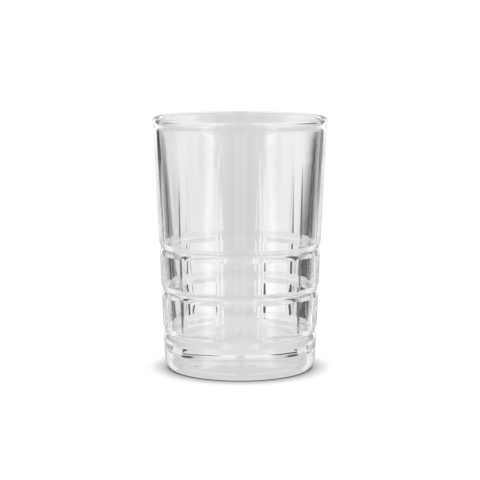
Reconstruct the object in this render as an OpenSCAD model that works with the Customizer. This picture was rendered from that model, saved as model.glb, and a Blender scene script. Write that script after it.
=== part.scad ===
// Cortado glass: a small clear pressed tumbler for a short milk coffee.
// One piece of glass: a plain upper wall, and a lower wall cut into panels by
// three rings and a row of upright flutes, over a thick solid base.
// Millimetres, +Z up, origin at the centre of the foot on the table.

/* [Wall] */
// Full height, from the table to the top of the rim
glass_h = 90; // [75:0.5:120]
// Outside radius of the straight wall line at the table
foot_r = 26.8; // [25:0.1:34]
// Outside radius of the same wall line at the full height
rim_r = 30.75; // [27:0.05:40]
// Wall thickness near the rim
wall_top = 1.9; // [1.2:0.1:3]
// Wall thickness where the wall meets the floor of the cup
wall_low = 2.2; // [1.7:0.1:4]

/* [Rim] */
// Radius of the melted round top edge
rim_round = 1.1; // [0.8:0.05:1.6]
// How far the rim bead stands out past the wall line
bead_out = 0.2; // [0:0.05:0.6]
// Height over which the bead fades into the wall
bead_fade = 3; // [1:0.25:6]

/* [Base] */
// Thickness of the solid glass under the cup's floor
base_t = 9.4; // [5:0.1:12]
// Radius of the corner between the floor and the wall inside
floor_corner = 2.5; // [1:0.1:6]
// How far the rounded outside corner reaches in along the table
foot_round = 2.4; // [0.4:0.1:2.8]
// How far the same corner reaches up the wall
foot_rise = 4.2; // [0.4:0.1:6]
// Radius of the shallow hollow under the foot
hollow_r = 21.5; // [10:0.25:22]
// Depth of that hollow at the centre
hollow_depth = 0.6; // [0.2:0.05:1.5]

/* [Rings] */
// How many rings run round the lower wall
ring_count = 3; // [1:1:4]
// Height of the middle of the lowest ring
ring_low = 13.5; // [10:0.25:18]
// Distance from one ring to the next, middle to middle
ring_pitch = 15.1; // [10:0.1:18]
// Half of a ring's width, to where the wall is plain again
ring_half = 2.1; // [1.5:0.1:4]
// Depth of a ring at its middle
ring_depth = 0.6; // [0.2:0.05:0.9]
// How softly a ring is rounded along its deepest line
ring_soft = 0.3; // [0.1:0.05:1]

/* [Flutes] */
// How many upright flutes there are round the glass
flute_count = 12; // [6:1:20]
// How far the first flute stands to the right of the front, in degrees
flute_turn = 15.5; // [0:0.5:30]
// How far below the top of the rim a flute runs out to a point
flute_stop = 14; // [5:0.5:30]
// Depth of a flute at the lowest ring
flute_depth = 0.24; // [0.15:0.01:0.5]
// Half width of a flute at the lowest ring, on a flat wall
flute_half = 1.9; // [1.2:0.1:4]
// Half width of the flat bottom of a flute, up to the top ring
flute_root = 0.6; // [0.1:0.05:0.9]
// Half width of a flute over the top ring, where it starts to narrow
spike_half = 1.6; // [1.2:0.1:3]

/* [Hidden] */
$fn = 96;
// a cutter stands this far past the glass that it cuts
overrun = 2;
ring_steps = 10;
fade_steps = 4;
arc_steps = 8;
// angle of the wall line from upright
wall_lean = atan((rim_r - foot_r) / glass_h);
rim_mid_z = glass_h - rim_round;
rim_mid_r = rim_r + bead_out - rim_round;
fade_z = rim_mid_z - bead_fade;
floor_mid_z = base_t + floor_corner;
flute_top = glass_h - flute_stop;
top_ring = ring_low + ring_pitch * (ring_count - 1);
// a flute's bottom line runs straight from here at the lowest ring to the wall
// line at the flute's top, and leans by this angle from upright
root_low = foot_r + (rim_r - foot_r) * ring_low / glass_h - flute_depth;
root_lean = atan((foot_r + (rim_r - foot_r) * flute_top / glass_h - root_low)
    / (flute_top - ring_low));

// outside radius of the plain wall at a height
function wall_line(z) = foot_r + (rim_r - foot_r) * z / glass_h;

// inside radius of the plain wall at a height
function cup_line(z) =
    wall_line(z) - wall_low + (wall_low - wall_top) * (z - base_t) / (glass_h - base_t);

// 1 at the start of a fade, 0 at its end, level at both
function ease(t) = (1 + cos(180 * t)) / 2;

function ring_z(k) = ring_low + ring_pitch * k;

// outside corner at the foot, part of an ellipse, from the table up to the
// wall line, which it meets without a bend
function foot_arc() =
    let (meet = -atan(tan(wall_lean) * foot_rise / foot_round),
        mid_r = wall_line(foot_rise * (1 + sin(meet))) - foot_round * cos(meet))
    [for (i = [0:arc_steps])
        let (a = -90 + (90 + meet) * i / arc_steps)
        [mid_r + foot_round * cos(a), foot_rise * (1 + sin(a))]];

// depth of a ring at a distance from its middle: two nearly straight sides
// with a round bottom between them
function ring_cut(d) =
    let (edge = norm([ring_half, ring_soft]) - ring_soft)
    ring_depth * (1 - (norm([d, ring_soft]) - ring_soft) / edge);

// one ring in the wall line, from its lower to its upper edge, with its steps
// closest together at the round bottom
function ring_dip(mid_z) =
    [for (i = [-ring_steps / 2:ring_steps / 2])
        let (t = 2 * i / ring_steps, d = ring_half * t * abs(t))
        [wall_line(mid_z + d) - ring_cut(d), mid_z + d]];

function all_rings() = [for (k = [0:ring_count - 1]) each ring_dip(ring_z(k))];

// outside of the bead, from the wall line up to the rim
function bead_outside() =
    [for (i = [0:fade_steps - 1])
        let (z = fade_z + bead_fade * i / fade_steps)
        [wall_line(z)
            + (rim_mid_r + rim_round - wall_line(rim_mid_z)) * ease(1 - i / fade_steps), z]];

// round top edge, over the rim from outside to inside
function rim_arc() =
    [for (i = [0:2 * arc_steps])
        let (a = 180 * i / (2 * arc_steps))
        [rim_mid_r + rim_round * cos(a), rim_mid_z + rim_round * sin(a)]];

// inside of the bead, from the rim down to the cup's wall
function bead_inside() =
    [for (i = [fade_steps - 1:-1:0])
        let (z = fade_z + bead_fade * i / fade_steps)
        [cup_line(z)
            + (rim_mid_r - rim_round - cup_line(rim_mid_z)) * ease(1 - i / fade_steps), z]];

// corner between the cup's wall and its floor, from the wall down
function floor_arc() =
    [for (i = [0:arc_steps])
        let (a = -90 * i / arc_steps)
        [cup_line(floor_mid_z) - floor_corner + floor_corner * cos(a),
            floor_mid_z + floor_corner * sin(a)]];

// the wall, rim and base turned in one piece, with the rings in the wall
module turned_glass() {
    rotate_extrude()
        polygon(concat([[0, 0]], foot_arc(), all_rings(), bead_outside(), rim_arc(),
            bead_inside(), floor_arc(), [[0, base_t]]));
}

// the shallow hollow under the foot, cut by a large ball
module foot_hollow() {
    ball_r = (hollow_r * hollow_r + hollow_depth * hollow_depth) / (2 * hollow_depth);
    translate([0, 0, hollow_depth - ball_r])
        intersection() {
            sphere(r = ball_r);
            translate([0, 0, ball_r - hollow_depth - overrun])
                cylinder(r = hollow_r + overrun, h = hollow_depth + 2 * overrun);
        }
}

// section of a flute, seen along its bottom line: a V with a flat bottom,
// open away from the glass
module flute_section(cut, half) {
    reach = cut + overrun;
    spread = (half - flute_root) * reach / cut;
    polygon([[0, -flute_root], [reach, -flute_root - spread],
        [reach, flute_root + spread], [0, flute_root]]);
}

// the lower part of a flute, as wide as the section all the way between the
// lowest ring and the top ring
module flute_groove() {
    run_up = top_ring - ring_low;
    translate([root_low, 0, ring_low])
        rotate([0, root_lean, 0])
            linear_extrude(height = run_up / cos(root_lean))
                flute_section(flute_depth, flute_half);
}

// the upper part, which narrows from the top ring to a point
module flute_spike() {
    root_r = root_low + (top_ring - ring_low) * tan(root_lean);
    run_up = flute_top - top_ring;
    translate([root_r, 0, top_ring])
        rotate([0, root_lean, 0])
            linear_extrude(height = run_up / cos(root_lean), scale = 0)
                flute_section(wall_line(top_ring) - root_r, spike_half);
}

// the flutes, each cut in two parts that meet inside the top ring
module flutes() {
    for (k = [0:flute_count - 1])
        rotate(flute_turn - 90 + 360 * k / flute_count) {
            if (ring_count > 1)
                flute_groove();
            flute_spike();
        }
}

module tumbler() {
    color("lightcyan", 0.5)
        difference() {
            turned_glass();
            foot_hollow();
            flutes();
        }
}

tumbler();
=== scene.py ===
import bpy, bmesh, math
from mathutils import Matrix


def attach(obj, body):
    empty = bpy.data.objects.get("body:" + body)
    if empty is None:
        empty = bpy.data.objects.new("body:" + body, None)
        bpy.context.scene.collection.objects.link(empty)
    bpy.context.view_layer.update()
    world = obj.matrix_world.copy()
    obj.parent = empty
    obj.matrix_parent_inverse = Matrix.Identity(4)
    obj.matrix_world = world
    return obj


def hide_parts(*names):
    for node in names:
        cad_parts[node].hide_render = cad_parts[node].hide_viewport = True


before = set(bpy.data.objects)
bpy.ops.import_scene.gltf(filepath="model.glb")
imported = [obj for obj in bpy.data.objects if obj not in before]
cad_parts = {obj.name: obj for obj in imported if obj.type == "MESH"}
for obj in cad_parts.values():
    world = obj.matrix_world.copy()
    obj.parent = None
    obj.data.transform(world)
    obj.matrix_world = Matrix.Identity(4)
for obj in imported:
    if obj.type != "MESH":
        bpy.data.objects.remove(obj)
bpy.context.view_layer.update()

# A cortado glass: one clear pressed tumbler on a white table, with white boards
# all round it and dark gaps between them. Lengths of the glass are millimetres
# and become metres when its mesh is made.
MM = 0.001

# wall, rim and base
GLASS_H = 90.0
FOOT_R, RIM_R = 26.8, 30.75         # wall line at the table and at the full height
WALL_TOP, WALL_LOW = 1.9, 2.2       # thickness at the rim and at the cup's floor
RIM_ROUND, BEAD_OUT, BEAD_FADE = 1.1, 0.2, 3.0
BASE_T, FLOOR_CORNER = 9.4, 2.5
FOOT_ROUND, FOOT_RISE = 2.4, 4.2    # width and height of the outside corner at the table
HOLLOW_R, HOLLOW_DEPTH = 21.5, 0.6

# rings, lowest first, and how softly each is rounded along its deepest line
RING_Z = (13.5, 28.6, 43.7)
RING_HALF, RING_DEPTH, RING_SOFT = 2.1, 0.6, 0.3

# flutes: a V with a flat bottom up to the top ring, then a spike to a point
FLUTES, FLUTE_TURN, FLUTE_TOP = 12, 15.5, 76.0
FLUTE_DEPTH, FLUTE_HALF, FLUTE_ROOT, SPIKE_HALF = 0.24, 1.9, 0.6, 1.6
EDGE_SOFT = 0.01                    # depth over which a flute's edge is rounded
EDGE_END = 8                        # how many such depths the rounding reaches

# rows of the mesh: how many steps the outline takes along each of its parts
HOLLOW_STEPS, FOOT_STEPS = 10, 14   # under the foot, round the corner at the table
LOW_STEPS, RING_STEPS = 6, 12       # in the plain wall under each ring, in half a ring
SPIKE_STEPS, TOP_STEPS = 17, 4      # past the top ring, from the flutes' tops to the bead
FADE_STEPS, RIM_STEPS = 8, 18       # up the bead, over the rim
CUP_STEPS, CORNER_STEPS = 10, 12    # down inside the cup, round the corner of its floor
FLOOR_ROWS = (0.9, 0.7, 0.45, 0.2, 0)   # shares of the flat floor's radius
ROW_NEAR = 0.1                      # a row this close to a bend keeps it crisp

# columns of the mesh, across a flute and half of the panel to each side of it
ROOT_NEAR, ROOT_SHARE = 0.06, 0.6   # from the side of its flat bottom, or a share of that
EDGE_NEAR = (-0.1, -0.03, 0.03, 0.1, 0.25)      # from the flute's edge
COLUMN_GAP, PANEL_STEPS = 0.02, 9   # least gap, steps on to the middle of the panel
# heights between which the columns pass from even to gathered, and back
GATHER_LOW, GATHER_HIGH = (5.0, RING_Z[0] - RING_HALF), (FLUTE_TOP, 84.0)
OUTSIDE_WITHIN = 1.0                # the outside lies this close to the wall line

# the material's swells, the table and the camera
SWELL_ACROSS, SWELL_DEEP = 40 / 3 * MM, 0.45 * MM
SWELL_FULL, SWELL_FAINT = 20 * MM, 52 * MM      # heights
TABLE_SIZE, AIR = 6, 0.05 * MM      # a breath of air is left under the foot
SHADE_REACH = 9 * MM                # how far from the glass the painted contact shadow reaches
OVAL_LONG, OVAL_SLIM = 62 * MM, 2.5     # half the length of the glowing oval of painted light, and its length over its width
CAMERA_OFF, CAMERA_UP = 0.63, 0.1341    # metres
LOOK_DOWN, LENS = 7.968, 133.3      # degrees and millimetres
BOUNCES = 64


def linear(hex_colour):
    """An sRGB hex colour as the linear colour that a shader takes."""
    parts = [int(hex_colour[i:i + 2], 16) / 255 for i in (1, 3, 5)]
    return [c / 12.92 if c <= 0.04045 else ((c + 0.055) / 1.055) ** 2.4 for c in parts] + [1]


def add(tree, kind, stops=(), sockets=(), links=(), **settings):
    """Adds one node: its own settings, values for sockets, links into sockets,
    and, on a colour ramp, its (position, grey) stops."""
    node = tree.nodes.new(kind)
    for name, value in settings.items():
        setattr(node, name, value)
    for socket, value in dict(sockets).items():
        node.inputs[socket].default_value = value
    for socket, source in dict(links).items():
        tree.links.new(source, node.inputs[socket])
    for n, (place, grey) in enumerate(stops):
        ramp = node.color_ramp.elements
        stop = ramp[n] if n < 2 else ramp.new(place)
        stop.position, stop.color = place, (grey, grey, grey, 1)
    return node


# The glass

def wall_line(z):
    """Outside radius of the plain wall at a height."""
    return FOOT_R + (RIM_R - FOOT_R) * z / GLASS_H


def cup_line(z):
    """Inside radius of the plain wall at a height."""
    return wall_line(z) - WALL_LOW + (WALL_LOW - WALL_TOP) * (z - BASE_T) / (GLASS_H - BASE_T)


def ease(t):
    """1 at the start of a fade and 0 at its end, level at both."""
    return (1 + math.cos(math.pi * t)) / 2


def arc(mid_r, mid_z, across, up, start, end, steps):
    """Part of an ellipse, from one angle to another."""
    turn = [math.radians(start + (end - start) * i / steps) for i in range(steps + 1)]
    return [(mid_r + across * math.cos(a), mid_z + up * math.sin(a)) for a in turn]


def even(start, end, steps):
    """Heights between start and end, without the two ends."""
    return [start + (end - start) * i / steps for i in range(1, steps)]


def ring_cut(z):
    """Depth of the rings at a height."""
    edge = math.hypot(RING_HALF, RING_SOFT) - RING_SOFT
    return max(0, *(RING_DEPTH * (1 - (math.hypot(z - mid, RING_SOFT) - RING_SOFT) / edge)
                    for mid in RING_Z))


def outline():
    """Half of the glass in section, from the middle of the foot round to the
    middle of the cup's floor, as (radius, height)."""
    ball_r = (HOLLOW_R ** 2 + HOLLOW_DEPTH ** 2) / (2 * HOLLOW_DEPTH)
    points = [(r, HOLLOW_DEPTH - ball_r + math.sqrt(ball_r ** 2 - r ** 2))
              for r in [HOLLOW_R * i / HOLLOW_STEPS for i in range(HOLLOW_STEPS)]]
    points += [(HOLLOW_R, 0), (HOLLOW_R + ROW_NEAR, 0)]
    # the corner meets the wall line without a bend
    meet = -math.atan(FOOT_RISE * (RIM_R - FOOT_R) / (FOOT_ROUND * GLASS_H))
    start = FOOT_RISE + FOOT_RISE * math.sin(meet)
    foot_mid = wall_line(start) - FOOT_ROUND * math.cos(meet)
    points += arc(foot_mid, FOOT_RISE, FOOT_ROUND, FOOT_RISE, -90, math.degrees(meet),
                  FOOT_STEPS)
    heights = []
    for mid in RING_Z:
        side = [RING_HALF * t * abs(t)
                for t in [i / RING_STEPS for i in range(-RING_STEPS, RING_STEPS + 1)]]
        near = [RING_HALF + ROW_NEAR, RING_HALF - ROW_NEAR]
        heights += even(start, mid - RING_HALF, LOW_STEPS)
        heights += sorted([mid + d for d in side + near + [-d for d in near]])
        start = mid + RING_HALF
    heights += even(start, FLUTE_TOP, SPIKE_STEPS) + [FLUTE_TOP]
    bead_z = GLASS_H - RIM_ROUND - BEAD_FADE
    heights += even(FLUTE_TOP, bead_z, TOP_STEPS)
    points += [(wall_line(z) - ring_cut(z), z) for z in heights]
    # the bead fades in on both sides of the wall, and the rim closes it
    rim_mid_r, rim_mid_z = RIM_R + BEAD_OUT - RIM_ROUND, GLASS_H - RIM_ROUND
    out = rim_mid_r + RIM_ROUND - wall_line(rim_mid_z)
    into = rim_mid_r - RIM_ROUND - cup_line(rim_mid_z)
    fade = [i / FADE_STEPS for i in range(FADE_STEPS)]
    points += [(wall_line(bead_z + BEAD_FADE * t) + out * ease(1 - t), bead_z + BEAD_FADE * t)
               for t in fade]
    points += arc(rim_mid_r, rim_mid_z, RIM_ROUND, RIM_ROUND, 0, 180, RIM_STEPS)
    points += [(cup_line(bead_z + BEAD_FADE * t) + into * ease(1 - t), bead_z + BEAD_FADE * t)
               for t in reversed(fade)]
    floor_mid = BASE_T + FLOOR_CORNER
    points += [(cup_line(z), z) for z in even(bead_z, floor_mid, CUP_STEPS)]
    corner_r = cup_line(floor_mid) - FLOOR_CORNER
    points += arc(corner_r, floor_mid, FLOOR_CORNER, FLOOR_CORNER, 0, -90, CORNER_STEPS)
    points += [(corner_r * t, BASE_T) for t in FLOOR_ROWS]
    return points


def flute_at(z):
    """Depth in the middle, half width of the flat bottom and slope of the
    sides of a flute at a height."""
    if z < RING_Z[0] or z > FLUTE_TOP:
        return 0, 0, 1
    depth = FLUTE_DEPTH * (FLUTE_TOP - z) / (FLUTE_TOP - RING_Z[0])
    if z < RING_Z[-1]:
        return depth, FLUTE_ROOT, FLUTE_DEPTH / (FLUTE_HALF - FLUTE_ROOT)
    narrowing = (FLUTE_TOP - z) / (FLUTE_TOP - RING_Z[-1])
    spike_cut = FLUTE_DEPTH * (FLUTE_TOP - RING_Z[-1]) / (FLUTE_TOP - RING_Z[0])
    return depth, FLUTE_ROOT * narrowing, spike_cut / (SPIKE_HALF - FLUTE_ROOT)


def flute_cut(z, aside):
    """Depth of a flute below the round wall, at a distance from its middle."""
    depth, root, slope = flute_at(z)
    left = depth - slope * max(0, aside - root) - aside ** 2 / (2 * wall_line(z))
    if depth == 0 or left < -EDGE_END * EDGE_SOFT:
        return 0
    return EDGE_SOFT * math.log1p(math.exp(left / EDGE_SOFT))


def columns_at(z):
    """Places of the mesh's columns across one flute and half of the panel to
    each side of it, in millimetres from the flute's middle. They stand close
    together along the flute's edges, which keeps the edges crisp."""
    z = min(max(z, RING_Z[0]), FLUTE_TOP)
    depth, root, slope = flute_at(z)
    r = wall_line(z)
    reach = slope * r
    edge = math.sqrt(reach ** 2 + 2 * r * (depth + slope * root)) - reach
    side = [max(root - ROOT_NEAR, root * ROOT_SHARE), root + ROOT_NEAR,
            (root + edge) / 2 + ROOT_NEAR]
    side += [edge + d for d in EDGE_NEAR]
    half = math.pi * r / FLUTES
    for i in range(1, len(side)):
        side[i] = max(side[i], side[i - 1] + COLUMN_GAP)
    side += [side[-1] + (half - side[-1]) * t
             for t in [i / PANEL_STEPS for i in range(1, PANEL_STEPS)]]
    return [-s for s in reversed(side)] + [0] + side + [half]


glass_mesh = bpy.data.meshes.new("tumbler_glass")
bm = bmesh.new()
PER_FLUTE = len(columns_at(GLASS_H))
COLUMNS = FLUTES * PER_FLUTE
STEP = 2 * math.pi / COLUMNS
MID_COLUMN = (PER_FLUTE - 1) / 2
FIRST_FLUTE = math.radians(FLUTE_TURN - 90)
# the turning starts at the first flute's own column that is furthest left
first = FIRST_FLUTE - MID_COLUMN * STEP
section = [bm.verts.new((r * math.cos(first), r * math.sin(first), z)) for r, z in outline()]
chain = [bm.edges.new(pair) for pair in zip(section, section[1:])]
bmesh.ops.spin(bm, geom=section + chain, cent=(0, 0, 0), axis=(0, 0, 1),
               angle=2 * math.pi, steps=COLUMNS, use_merge=True)
bmesh.ops.remove_doubles(bm, verts=bm.verts, dist=0.001)
# on the outside, the columns are gathered at the flutes and the flutes are cut
places_at = {}
for v in bm.verts:
    r, z = math.hypot(v.co.x, v.co.y), v.co.z
    if r < wall_line(z) - OUTSIDE_WITHIN or z > GLASS_H - RIM_ROUND - BEAD_FADE / 2:
        continue
    turn = math.atan2(v.co.y, v.co.x)
    flute, column = divmod(round((turn - first) / STEP) % COLUMNS, PER_FLUTE)
    row = round(z, 5)
    if row not in places_at:
        places_at[row] = columns_at(z)
    gathered = places_at[row][column]
    # even columns at the foot and the rim, gathered ones between them
    gather = min(1, max(0, (z - GATHER_LOW[0]) / (GATHER_LOW[1] - GATHER_LOW[0])),
                 max(0, (GATHER_HIGH[1] - z) / (GATHER_HIGH[1] - GATHER_HIGH[0])))
    evenly = (column - MID_COLUMN) * STEP
    aside = gather * gathered / wall_line(z) + (1 - gather) * evenly
    if gather > 0:
        r = min(r, wall_line(z) - flute_cut(z, abs(gathered)))
    turn = FIRST_FLUTE + flute * 2 * math.pi / FLUTES + aside
    v.co = (r * math.cos(turn), r * math.sin(turn), z)
bmesh.ops.recalc_face_normals(bm, faces=bm.faces)
bmesh.ops.scale(bm, vec=(MM, MM, MM), verts=bm.verts)
bm.to_mesh(glass_mesh)
bm.free()
glass_mesh.shade_smooth()
tumbler = bpy.data.objects.new("tumbler_glass", glass_mesh)
bpy.context.scene.collection.objects.link(tumbler)
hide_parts("tumbler")
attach(tumbler, "root")

# Soda-lime glass, pressed in a mould and fire polished: colourless, clear and
# fully smooth, so that it is seen only by how it bends and mirrors the white
# boards and the dark gaps round it.
glass = bpy.data.materials.new("pressed_soda_lime_glass")
glass.use_nodes = True
melt = glass.node_tree
body = melt.nodes["Principled BSDF"]
body.inputs["Base Color"].default_value = linear("#FFFFFF")
body.inputs["Roughness"].default_value = 0
body.inputs["IOR"].default_value = 1.52
body.inputs["Transmission Weight"].default_value = 1
# The mould leaves the faces slightly wavy, in slow swells, most of all low
# down, where the glass is thick and cools last.
place = add(melt, "ShaderNodeTexCoord")
height = add(melt, "ShaderNodeSeparateXYZ", links={0: place.outputs["Object"]})
low_down = add(melt, "ShaderNodeMapRange", links={"Value": height.outputs["Z"]},
               sockets={"From Min": SWELL_FULL, "From Max": SWELL_FAINT,
                        "To Min": 1, "To Max": 0.06})
swells = add(melt, "ShaderNodeTexNoise", links={"Vector": place.outputs["Object"]},
             sockets={"Scale": 1 / SWELL_ACROSS, "Detail": 1.5, "Roughness": 0.4})
swells = add(melt, "ShaderNodeMath", operation="MULTIPLY",
             links={0: swells.outputs["Fac"], 1: low_down.outputs["Result"]})
uneven = add(melt, "ShaderNodeBump", sockets={"Strength": 1, "Distance": SWELL_DEEP},
             links={"Height": swells.outputs[0]})
melt.links.new(uneven.outputs["Normal"], body.inputs["Normal"])
glass_mesh.materials.append(glass)

# The table

bpy.ops.mesh.primitive_plane_add(size=TABLE_SIZE, location=(0, 0, -AIR))
table = bpy.context.object
table.name = "white_table"
# Matt board, made plain white by a white glow rather than by the light. Its grey
# diffuse shows only in a painted contact shadow near the glass. Through the glass
# it is seen only close to the foot, as a small glowing oval of painted light; past
# that the glass shows the boards that stand round it.
board = bpy.data.materials.new("matt_white_board")
board.use_nodes = True
face = board.node_tree
shadow = face.nodes["Principled BSDF"]
# painted shade: this grey is darker than the white board, to deepen the painted contact shadow
shadow.inputs["Base Color"].default_value = linear("#B4B4B4")
shadow.inputs["Roughness"].default_value = 0.8
shadow.inputs["Specular IOR Level"].default_value = 0
# burnt out to plain white by a glow, which an occlusion mask fades to the grey
# diffuse where the glass stands close over it: a painted contact shadow
painted_shadow_ao = add(face, "ShaderNodeAmbientOcclusion", sockets={"Distance": SHADE_REACH},
              samples=16)
painted_shadow_fade = add(face, "ShaderNodeMapRange", links={"Value": painted_shadow_ao.outputs["AO"]},
            sockets={"From Min": 0.3, "From Max": 0.9})
white = add(face, "ShaderNodeEmission")
direct = add(face, "ShaderNodeMixShader",
             links={0: painted_shadow_fade.outputs["Result"], 1: shadow.outputs[0], 2: white.outputs[0]})
rays = add(face, "ShaderNodeLightPath")
through = add(face, "ShaderNodeMath", operation="MAXIMUM",
              links={0: rays.outputs["Is Glossy Ray"], 1: rays.outputs["Is Transmission Ray"]})
# the oval is longer from front to back than it is wide
place = add(face, "ShaderNodeNewGeometry")
away = add(face, "ShaderNodeVectorMath", operation="MULTIPLY",
           sockets={1: (OVAL_SLIM, 1, 1)}, links={0: place.outputs["Position"]})
away = add(face, "ShaderNodeVectorMath", operation="LENGTH", links={0: away.outputs[0]})
past_oval = add(face, "ShaderNodeMath", operation="GREATER_THAN", sockets={1: OVAL_LONG},
                links={0: away.outputs["Value"]})
unseen = add(face, "ShaderNodeMath", operation="MULTIPLY",
             links={0: past_oval.outputs[0], 1: through.outputs[0]})
# painted light: through the glass the table is an even glow, not lit by the room
painted_lit_glow = add(face, "ShaderNodeEmission", sockets={"Strength": 0.76})
clear = add(face, "ShaderNodeBsdfTransparent")
near = add(face, "ShaderNodeMixShader",
           links={0: through.outputs[0], 1: direct.outputs[0], 2: painted_lit_glow.outputs[0]})
surface = add(face, "ShaderNodeMixShader",
              links={0: unseen.outputs[0], 1: near.outputs[0], 2: clear.outputs[0]})
face.links.new(surface.outputs[0], face.nodes["Material Output"].inputs["Surface"])
table.data.materials.append(board)

# The boards stand all round, as tones by compass direction, in degrees to the
# right of the direction straight behind the glass. Sight lines through the glass
# go on down past the table, so the boards show below the horizon too.
MIDDLE = [(-2.6, .88), (-2.1, .78), (-1.3, .71), (-.8, .69), (0, .66), (.8, .69), (1.3, .7),
          (2.4, .78), (3.2, .88)]
LEFT_EDGE = [(-16, .02), (-14.6, .06), (-13.8, .3), (-12, .38), (-11, .62), (-10.2, .86)]
RIGHT_EDGE = [(6.8, .88), (8.3, .72), (9.6, .42), (11.3, .18), (12.2, .05), (20, .02)]
world = bpy.data.worlds.new("white_boards")
bpy.context.scene.world = world
world.use_nodes = True
room = world.node_tree
toward = add(room, "ShaderNodeTexCoord")
parts = add(room, "ShaderNodeSeparateXYZ", links={0: toward.outputs["Generated"]})
turn = add(room, "ShaderNodeMath", operation="ARCTAN2",
           links={0: parts.outputs["X"], 1: parts.outputs["Y"]})
rise = add(room, "ShaderNodeMath", operation="ARCSINE", links={0: parts.outputs["Z"]})
turn = add(room, "ShaderNodeMath", operation="DEGREES", links={0: turn.outputs[0]})
rise = add(room, "ShaderNodeMath", operation="DEGREES", links={0: rise.outputs[0]})


def boards(period, stops, narrow=None):
    """Tones that repeat round the room, each stop given in degrees from the
    middle of its repeat. narrow, a socket, scales the directions."""
    half = period / 2
    fold = add(room, "ShaderNodeMath", operation="WRAP", sockets={1: half, 2: -half},
               links={0: turn.outputs[0]})
    if narrow:
        fold = add(room, "ShaderNodeMath", operation="MULTIPLY",
                   links={0: fold.outputs[0], 1: narrow})
    share = add(room, "ShaderNodeMapRange", links={"Value": fold.outputs[0]},
                sockets={"From Min": -half, "From Max": half})
    return add(room, "ShaderNodeValToRGB", links={0: share.outputs[0]},
               stops=[(d / period + 0.5, v) for d, v in stops])


def by_height(stops):
    """Tones by height over the horizon, each stop given in degrees."""
    share = add(room, "ShaderNodeMapRange", links={"Value": rise.outputs[0]},
                sockets={"From Min": -90, "From Max": 90})
    return add(room, "ShaderNodeValToRGB", links={0: share.outputs[0]},
               stops=[((d + 90) / 180, v) for d, v in stops])


def band(low, high, soft, most=1):
    """most between two heights over the horizon, fading to 0 over soft outside
    them, all in degrees."""
    return by_height([(low - soft, 0), (low, most), (high, most), (high + soft, 0)])


plain = boards(45, MIDDLE)
gaps = boards(45, LEFT_EDGE + MIDDLE + RIGHT_EDGE)
# the bright boards are wider and stand wider apart the higher one looks
widening = add(room, "ShaderNodeMapRange", links={"Value": rise.outputs[0]},
               sockets={"From Min": -10.7, "From Max": -2.7, "To Min": 1.44, "To Max": 0.6})
wide = boards(90, [(-39, .02), (-38, .14), (-33, .14), (-31.5, .02)]
              + [(d - 1.5, v) for d, v in LEFT_EDGE]
              + RIGHT_EDGE + [(21.5, .02), (23, .25), (30, .3), (37, .4), (39, .02)],
              widening.outputs["Result"])
# a greyer strip in the middle of each, which is as wide at every height
greyer = boards(90, [(-7, 1), (-3.8, 1.045), (-2.4, 1.03), (-1.9, .98), (-1.4, .87), (-1, .81),
                     (0, .78), (.9, .8), (1.3, .83), (1.7, .9), (2.1, .99), (2.6, 1.07),
                     (4.5, 1.07), (8, 1)])
wide = add(room, "ShaderNodeMix", data_type="RGBA", blend_type="MULTIPLY",
           sockets={"Factor": 1}, links={"A": wide.outputs[0], "B": greyer.outputs[0]})
# a bright board stands in each corner of the room too
corner = boards(90, [(-38.5, 1), (-36.5, 0), (36.5, 0), (38.5, 1)])
wide = add(room, "ShaderNodeMix", data_type="RGBA", sockets={"B": linear("#F0F0F0")},
           links={"Factor": corner.outputs[0], "A": wide.outputs["Result"]})
low_band, main_band = band(-22, -13.2, 2, 0.6), band(-13.2, -4, 0.8)
tone = add(room, "ShaderNodeMix", data_type="RGBA",
           links={"Factor": low_band.outputs[0], "A": plain.outputs[0], "B": gaps.outputs[0]})
tone = add(room, "ShaderNodeMix", data_type="RGBA",
           links={"Factor": main_band.outputs[0], "A": tone.outputs["Result"],
                  "B": wide.outputs["Result"]})
# level with the glass there are two dark gaps to each side of the middle board
level_band, upper_band = band(-1.5, 4, 1), band(6, 24, 3)
level = boards(180, [(-68, .6), (-62, .1), (-54, .1), (-51, .7), (-39, .7), (-37, .1),
                     (-29, .1), (-25, .6)] + MIDDLE
               + [(25, .6), (29, .07), (37, .07), (39, .7), (51, .7), (54, .07), (62, .07),
                  (68, .6)])
tone = add(room, "ShaderNodeMix", data_type="RGBA",
           links={"Factor": level_band.outputs[0], "A": tone.outputs["Result"],
                  "B": level.outputs[0]})
# above them the wall of the room is one even light grey
tone = add(room, "ShaderNodeMix", data_type="RGBA", sockets={"B": linear("#E5E5E5")},
           links={"Factor": upper_band.outputs[0], "A": tone.outputs["Result"]})
# small changes of the light with height, and less of it high up
falling = by_height([(-20, 1.05), (-9.5, 1.03), (-7.2, .96), (-4.8, 1.03), (3, .98), (8, .84),
                     (25, .84)])
tone = add(room, "ShaderNodeMix", data_type="RGBA", blend_type="MULTIPLY",
           sockets={"Factor": 1},
           links={"A": tone.outputs["Result"], "B": falling.outputs[0]})
rays = add(room, "ShaderNodeLightPath")
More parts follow.
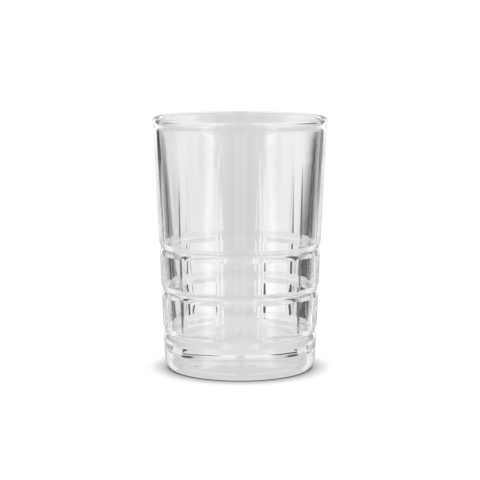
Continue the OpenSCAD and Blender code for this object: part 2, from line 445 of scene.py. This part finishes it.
# a mirrored ray is glossy and not a transmission ray: it sees a grey room with
# a bright board to each side, narrower and closer in the higher one looks
mirrored = add(room, "ShaderNodeMath", operation="SUBTRACT", use_clamp=True,
               links={0: rays.outputs["Is Glossy Ray"], 1: rays.outputs["Is Transmission Ray"]})
narrowing = add(room, "ShaderNodeMapRange", links={"Value": rise.outputs[0]},
                sockets={"From Min": -12.3, "From Max": -4.3, "To Min": 0.66, "To Max": 1.34})
sides = boards(180, [(-46, .04), (-40, .4), (-37, 1), (-33, 2.3), (-27, 1.8),
                     (-19, 1), (-10, .5), (0, .4), (10, .5), (19, 1), (27, 1.8),
                     (33, 2.3), (37, 1), (40, .4), (46, .04)], narrowing.outputs["Result"])
tone = add(room, "ShaderNodeMix", data_type="RGBA",
           links={"Factor": mirrored.outputs[0], "A": tone.outputs["Result"],
                  "B": sides.outputs[0]})
# little of the light that crosses the glass lands on the table behind it
shaded = add(room, "ShaderNodeMath", operation="MULTIPLY", use_clamp=True,
             links={0: rays.outputs["Is Transmission Ray"], 1: rays.outputs["Diffuse Depth"]})
tone = add(room, "ShaderNodeMix", data_type="RGBA", sockets={"B": linear("#404040")},
           links={"Factor": shaded.outputs[0], "A": tone.outputs["Result"]})
# the room behind the glass is plain white, and so is its light on the table
open_light = add(room, "ShaderNodeMath", operation="MAXIMUM",
                 links={0: rays.outputs["Is Camera Ray"], 1: rays.outputs["Is Diffuse Ray"]})
tone = add(room, "ShaderNodeMix", data_type="RGBA", sockets={"B": linear("#FFFFFF")},
           links={"Factor": open_light.outputs[0], "A": tone.outputs["Result"]})
room.links.new(tone.outputs["Result"], room.nodes["Background"].inputs["Color"])

# The camera: a long lens, 630 mm off, looking a little down

camera = bpy.data.objects.new("camera", bpy.data.cameras.new("camera"))
bpy.context.scene.collection.objects.link(camera)
bpy.context.scene.camera = camera
camera.data.sensor_width = 36
camera.data.lens = LENS
camera.data.clip_start = 0.01
camera.location = (0, -CAMERA_OFF, CAMERA_UP)
camera.rotation_euler = (math.radians(90 - LOOK_DOWN), 0, 0)

scene = bpy.context.scene
scene.view_settings.view_transform = "Standard"
# a sight line may turn many times inside the wall and the base
scene.cycles.max_bounces = BOUNCES
scene.cycles.transmission_bounces = BOUNCES
scene.cycles.glossy_bounces = BOUNCES
